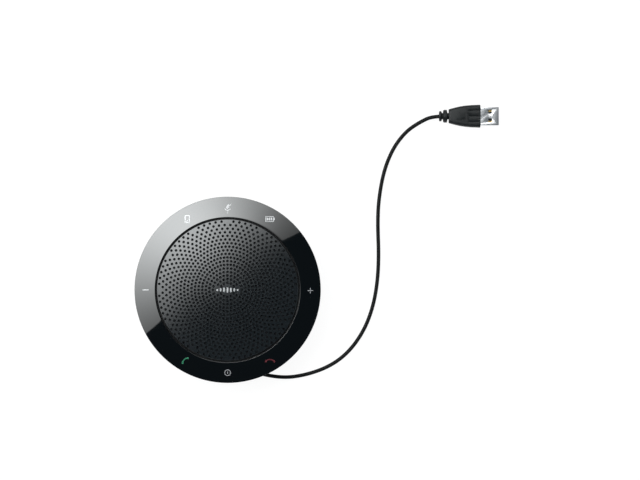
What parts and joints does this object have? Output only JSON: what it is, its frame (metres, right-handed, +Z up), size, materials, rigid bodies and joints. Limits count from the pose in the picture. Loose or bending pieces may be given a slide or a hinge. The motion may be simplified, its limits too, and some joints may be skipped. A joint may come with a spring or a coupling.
{
  "type": "conference speakerphone",
  "caption": "Flat round conference speakerphone: perforated dome, seamless ring of tilting gloss keys, winding channel round the base and a captive USB lead with its plug.",
  "frame": {"origin": "on the table, under the middle of the puck", "axes": "+Z up through the middle of the dome, +Y towards the mute symbol, which is the far side for a user; +X towards the volume-up symbol, the side that the lead lies on"},
  "size_m": [0.2359, 0.1802, 0.032],
  "materials": {
    "grille_paint": "fine satin grey powder paint on a perforated plate",
    "mark_print": "light grey printed bars",
    "acoustic_cloth": "black open weave",
    "satin_black": "satin black moulding",
    "shell_plastic": "fine spark-textured black",
    "foot_rubber": "matt black rubber",
    "label_film": "blank silver-grey label film",
    "screw_steel": "zinc-plated steel",
    "basket_paint": "black stamped steel",
    "foam": "soft closed-cell foam",
    "spider_cloth": "treated cotton",
    "zinc_plate": "zinc-plated steel",
    "ferrite": "sintered ferrite",
    "board_laminate": "green solder mask",
    "switch_case": "pale nylon",
    "led_lens": "clear epoxy",
    "chip_epoxy": "black epoxy",
    "socket_nylon": "natural nylon",
    "ribbon_film": "amber film",
    "battery_foil": "matt foil pouch",
    "wire_sleeve": "silicone sleeve",
    "cord_jacket": "smooth black elastomer jacket",
    "plug_plastic": "moulded black elastomer",
    "plug_metal": "nickel-plated sheet",
    "tongue_plastic": "black nylon",
    "gold_contact": "gold-plated",
    "key_gloss": "piano black with lit line symbols",
    "mat_silicone": "translucent grey silicone",
    "cone_paper": "coated black pulp",
    "coil_wire": "enamelled copper",
    "plunger_plastic": "nylon plunger"
  },
  "bodies": {
    "root": {"grille": "grille_paint", "centre_mark": "mark_print", "grille_cloth": "acoustic_cloth", "trim_ring": "satin_black", "inner_frame": "satin_black", "upper_shell": "shell_plastic", "lower_shell": "shell_plastic", "base_plate": "shell_plastic", "foot_ring": "foot_rubber", "rating_label": "label_film", "frame_screws": "screw_steel", "base_screws": "screw_steel", "tub_screws": "screw_steel", "speaker_tub": "satin_black", "driver_frame": "basket_paint", "driver_screws": "screw_steel", "driver_gasket": "foam", "driver_surround": "foot_rubber", "driver_spider": "spider_cloth", "driver_top_plate": "zinc_plate", "driver_magnet": "ferrite", "driver_yoke": "zinc_plate", "ring_board": "board_laminate", "switch_bodies": "switch_case", "status_leds": "led_lens", "main_board": "board_laminate", "board_chips": "chip_epoxy", "shield_can": "zinc_plate", "board_connectors": "socket_nylon", "ribbon_cable": "ribbon_film", "battery_pack": "battery_foil", "battery_pad": "foam", "battery_lead": "wire_sleeve", "microphone_capsule": "zinc_plate", "microphone_boot": "foot_rubber", "cord_grommet": "cord_jacket", "cord_clamp": "satin_black", "cord_winding": "cord_jacket", "usb_cord": "cord_jacket", "plug_collar": "plug_plastic", "plug_overmould": "plug_plastic", "plug_shell": "plug_metal", "plug_tongue": "tongue_plastic", "plug_contacts": "gold_contact"},
    "key_mat": {"key_mat": "mat_silicone"},
    "key_ring": {"key_ring": "key_gloss"},
    "speaker_cone": {"driver_cone": "cone_paper", "dust_cap": "cone_paper", "voice_coil": "coil_wire"},
    "volume_up_switch": {"volume_up_plunger": "plunger_plastic"},
    "battery_switch": {"battery_plunger": "plunger_plastic"},
    "mute_switch": {"mute_plunger": "plunger_plastic"},
    "wireless_switch": {"wireless_plunger": "plunger_plastic"},
    "volume_down_switch": {"volume_down_plunger": "plunger_plastic"},
    "answer_switch": {"answer_plunger": "plunger_plastic"},
    "power_switch": {"power_plunger": "plunger_plastic"},
    "end_switch": {"end_plunger": "plunger_plastic"}
  },
  "joints": [
    {"name": "key_tilt_front_back", "type": "hinge", "parent": "root", "child": "key_mat", "pos_m": [0, 0, 0.0255], "axis": [1, 0, 0], "range_deg": [-0.3, 0.3], "stiffness_Nm_per_rad": 4, "deforming": ["key_mat"]},
    {"name": "key_tilt_left_right", "type": "hinge", "parent": "key_mat", "child": "key_ring", "pos_m": [0, 0, 0.0255], "axis": [0, 1, 0], "range_deg": [-0.3, 0.3], "stiffness_Nm_per_rad": 4, "deforming": ["key_mat"]},
    {"name": "speaker_stroke", "type": "slide", "parent": "root", "child": "speaker_cone", "axis": [0, 0, 1], "range_m": [-0.001, 0.001], "stiffness_N_per_m": 1500, "deforming": ["driver_surround", "driver_spider"]},
    {"name": "volume_up_press", "type": "slide", "parent": "root", "child": "volume_up_switch", "axis": [0, 0, -1], "range_m": [0, 0.00025], "stiffness_N_per_m": 600},
    {"name": "battery_press", "type": "slide", "parent": "root", "child": "battery_switch", "axis": [0, 0, -1], "range_m": [0, 0.00025], "stiffness_N_per_m": 600},
    {"name": "mute_press", "type": "slide", "parent": "root", "child": "mute_switch", "axis": [0, 0, -1], "range_m": [0, 0.00025], "stiffness_N_per_m": 600},
    {"name": "wireless_press", "type": "slide", "parent": "root", "child": "wireless_switch", "axis": [0, 0, -1], "range_m": [0, 0.00025], "stiffness_N_per_m": 600},
    {"name": "volume_down_press", "type": "slide", "parent": "root", "child": "volume_down_switch", "axis": [0, 0, -1], "range_m": [0, 0.00025], "stiffness_N_per_m": 600},
    {"name": "answer_press", "type": "slide", "parent": "root", "child": "answer_switch", "axis": [0, 0, -1], "range_m": [0, 0.00025], "stiffness_N_per_m": 600},
    {"name": "power_press", "type": "slide", "parent": "root", "child": "power_switch", "axis": [0, 0, -1], "range_m": [0, 0.00025], "stiffness_N_per_m": 600},
    {"name": "end_press", "type": "slide", "parent": "root", "child": "end_switch", "axis": [0, 0, -1], "range_m": [0, 0.00025], "stiffness_N_per_m": 600}
  ]
}
